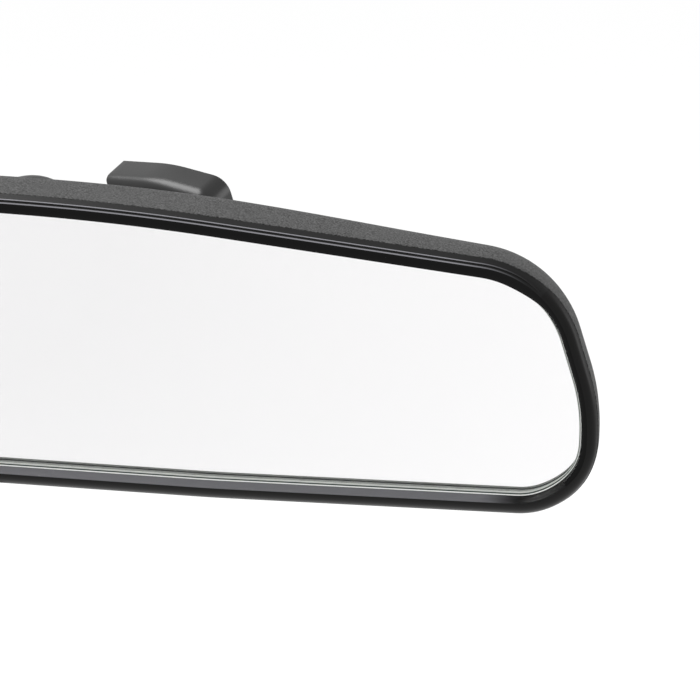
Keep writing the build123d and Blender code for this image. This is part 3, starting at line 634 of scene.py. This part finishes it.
# ---- Arm ----------------------------------------------------------------------------
def arm():
    """Waisted tube with rolled ends over the two balls, and a fine crimp behind each."""
    rim_r, end_r, waist_r, bore_r = 9.0, 10.5, 8.2, 7.0
    past, widest = 1.5, 5.0
    seat_r = BALL_R + 0.7

    def half(sign):
        """Outer profile from the rolled rim to the middle; sign flips it end for end."""
        points = [(-past + 0.3 * (1 - math.sin(a)), rim_r - 0.35 + 0.35 * math.cos(a) * 0.9)
                  for a in (math.radians(30 * k) for k in range(3, -1, -1))]
        for k in range(1, 7):
            share = k / 6
            points.append((-past + 0.3 + (widest + past - 0.3) * share,
                           rim_r + (end_r - rim_r) * math.sin(math.pi / 2 * share)))
        points += [(widest + 1.1, end_r - 0.06), (widest + 1.5, end_r - 0.30)]
        points.append((widest + 1.9, end_r - 0.34))
        for k in range(1, 9):
            share = k / 9
            z = widest + 1.9 + (ARM_LENGTH / 2 - widest - 1.9) * share
            points.append((z, waist_r + (end_r - 0.34 - waist_r) * (1 - smoothstep(0, 1, share))))
        return points if sign > 0 else [(ARM_LENGTH - z, r) for z, r in reversed(points)]

    def seat(sign):
        """Bore profile from the rim's inside to the straight bore."""
        rim_a, bore_a = math.asin(-past / seat_r), math.acos(bore_r / seat_r)
        turns = [rim_a + (bore_a - rim_a) * k / 12 for k in range(13)]
        points = [(seat_r * math.sin(a), seat_r * math.cos(a)) for a in turns]
        return points if sign > 0 else [(ARM_LENGTH - z, r) for z, r in reversed(points)]

    outer = half(1) + half(-1)
    inner = seat(1) + seat(-1)
    return revolved("arm_barrel", outer + list(reversed(inner)), ARM, steps=96)


finish_piece(arm(), "arm", "arm_tube", "black_steel", arm_paint)


# ---- Mount foot ---------------------------------------------------------------------
def foot():
    """Cast foot: softly rounded pad over the button, boss for the ball stud, channel for the
    button and a threaded hole for its set screw."""
    corners = [
        (0, 16.2, 40, 8), (14.7, 14.7, 4.0, 8), (14.7, 3, 12, 6), (8.5, -17, 5, 8),
        (-8.5, -17, 5, 8), (-14.7, 3, 12, 6), (-14.7, 14.7, 0.8, 6),
    ]

    def ring(inset, depth):
        return [(p.x, -depth, p.y) for p, n in fillet_ring(moved_in(corners, inset))]

    flat = FOOT_GAP + FOOT_THICK - FOOT_FILLET
    rings = [ring(0.3, FOOT_GAP), ring(0, FOOT_GAP + 0.3), ring(0, FOOT_GAP + 2), ring(0, flat)]
    for k in range(1, 11):
        a = math.radians(9 * k)
        rings.append(ring(FOOT_FILLET * (1 - math.cos(a)), flat + FOOT_FILLET * math.sin(a)))
    obj = solid(rings, FOOT)
    obj.name = "foot_casting"
    neck = local_frame(right, -UP, Vector((0, 1, 0)), mount_ball)    # z along the stud
    boss = [(10.4, SHARP), (10.4, 4.8), (10.8, 5.3), (12.6, 6.0), (14.4, 7.2), (15.9, 8.6),
            (15.9, SHARP)]
    cut(obj, revolved("cutter", boss, neck, closed=False), "UNION")
    cut(obj, rod(NECK_R, 9, NECK_END, neck))
    # Keystone channel: (half width at the bottom, depth, top) of its floor and of its mouth
    channel = [[(-x, -depth, -14.5), (x, -depth, -14.5), (x - 1.25, -depth, top), (1.25 - x, -depth, top)]
               for x, depth, top in ((10.4, CHANNEL_DEPTH, 12.65), (9.3, -0.4, 11.6))]
    cut(obj, solid(channel, FOOT))
    cut(obj, box_cutter((-10.4, -CHANNEL_DEPTH, -23.5), (10.4, 1, -11.5), FOOT))
    at_screw = Vector(bonded["pos_m"]) - face_up * SET_SCREW_DROP * MM
    cut(obj, rod(SET_SCREW_R, 2, 10, local_frame(right, face_up, -face_out, at_screw)))
    return obj


finish_piece(foot(), "mount", "mount_foot", "die_cast", foot_paint)

# ---- Floor, light and camera --------------------------------------------------------
low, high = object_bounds()


FLOOR_DROP = 0.45               # metres below the mirror


def floor():
    """Pale floor well below the mirror, large enough to fill every view."""
    bm = bmesh.new()
    reach = 12.0
    height = low.z - FLOOR_DROP
    bm.faces.new([bm.verts.new((x, y, height)) for x, y in
                  ((-reach, -reach), (reach, -reach), (reach, reach), (-reach, reach))])
    obj = new_object("floor", bm, Matrix.Identity(4))
    material, nodes, links, shader, where = surface("floor", grey(0.95), 0.8, specular=0.0)
    obj.data.materials.append(material)


floor()

world = bpy.data.worlds.new("studio")
world.use_nodes = True
world.node_tree.nodes["Background"].inputs["Color"].default_value = (1, 1, 1, 1)
world.node_tree.nodes["Background"].inputs["Strength"].default_value = 1.04
bpy.context.scene.world = world
bpy.context.scene.view_settings.view_transform = "Standard"


def softbox(name, place, target, width, height, watts):
    light = bpy.data.lights.new(name, "AREA")
    light.shape = "RECTANGLE"
    light.size, light.size_y = width, height
    light.energy = watts
    obj = bpy.data.objects.new(name, light)
    obj.location = place
    obj.rotation_euler = (Vector(target) - Vector(place)).to_track_quat("-Z", "Y").to_euler()
    bpy.context.scene.collection.objects.link(obj)


middle = (low + high) / 2
softbox("top_light", middle + Vector((-0.42, -0.30, 0.86)), middle, 0.8, 0.5, 11.0)
softbox("side_light", middle + across * 0.9 + inward * 0.25 + UP * 0.2, middle, 0.3, 0.5, 1.5)

# The camera looks a little to the right of the glass and down on it, cropping the left half.
AIM_ACROSS, AIM_UP = 76.0, 2.7
AZIMUTH, ELEVATION, ROLL = 36.5, 15.0, 0.9
DISTANCE = 0.560                # metres
LENS, SENSOR = 154.1, 36.0
aim = HEAD @ Vector((AIM_ACROSS, 0, AIM_UP))
azimuth, elevation, roll = (math.radians(v) for v in (AZIMUTH, ELEVATION, ROLL))
back = Vector((math.sin(azimuth) * math.cos(elevation), -math.cos(azimuth) * math.cos(elevation),
               math.sin(elevation)))
side = UP.cross(back).normalized()
top = back.cross(side)
side, top = (side * math.cos(roll) + top * math.sin(roll), top * math.cos(roll) - side * math.sin(roll))
camera = bpy.data.objects.new("camera", bpy.data.cameras.new("camera"))
camera.data.sensor_width = SENSOR
camera.data.lens = LENS
camera.matrix_world = Matrix([[side[r], top[r], back[r], (aim + back * DISTANCE)[r]] for r in range(3)]
                             + [[0, 0, 0, 1]])
bpy.context.scene.collection.objects.link(camera)
bpy.context.scene.camera = camera
